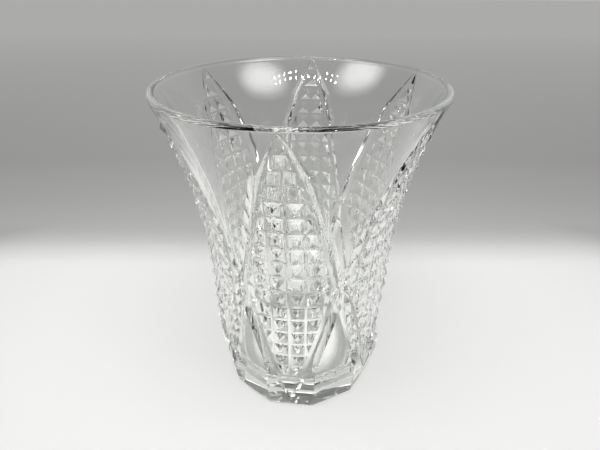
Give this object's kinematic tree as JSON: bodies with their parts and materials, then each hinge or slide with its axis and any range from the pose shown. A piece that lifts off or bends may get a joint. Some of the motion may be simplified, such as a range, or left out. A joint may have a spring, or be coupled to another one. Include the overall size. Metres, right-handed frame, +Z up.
{
  "type": "cut glass vase",
  "caption": "Flared round-mouthed vase of clear cut glass, with pointed studded panels round the wall, smooth arches between them and a thick many-sided foot.",
  "frame": {"origin": "centre of the foot's underside, on the vase's axis", "axes": "+Z up the vase's axis to the rim, -Y towards the middle of hobnail_panel_1, +X to the right of that panel"},
  "size_m": [0.1604, 0.1604, 0.21],
  "materials": {
    "clear_glass": "clear polished crystal glass, very slightly grey-green where it is thick"
  },
  "bodies": {
    "root": {"foot": "clear_glass", "rim_lip": "clear_glass", "hobnail_panel_1": "clear_glass", "flat_window_1": "clear_glass", "clear_arch_1": "clear_glass", "hobnail_panel_2": "clear_glass", "flat_window_2": "clear_glass", "clear_arch_2": "clear_glass", "hobnail_panel_3": "clear_glass", "flat_window_3": "clear_glass", "clear_arch_3": "clear_glass", "hobnail_panel_4": "clear_glass", "flat_window_4": "clear_glass", "clear_arch_4": "clear_glass", "hobnail_panel_5": "clear_glass", "flat_window_5": "clear_glass", "clear_arch_5": "clear_glass", "hobnail_panel_6": "clear_glass", "flat_window_6": "clear_glass", "clear_arch_6": "clear_glass"}
  },
  "joints": []
}
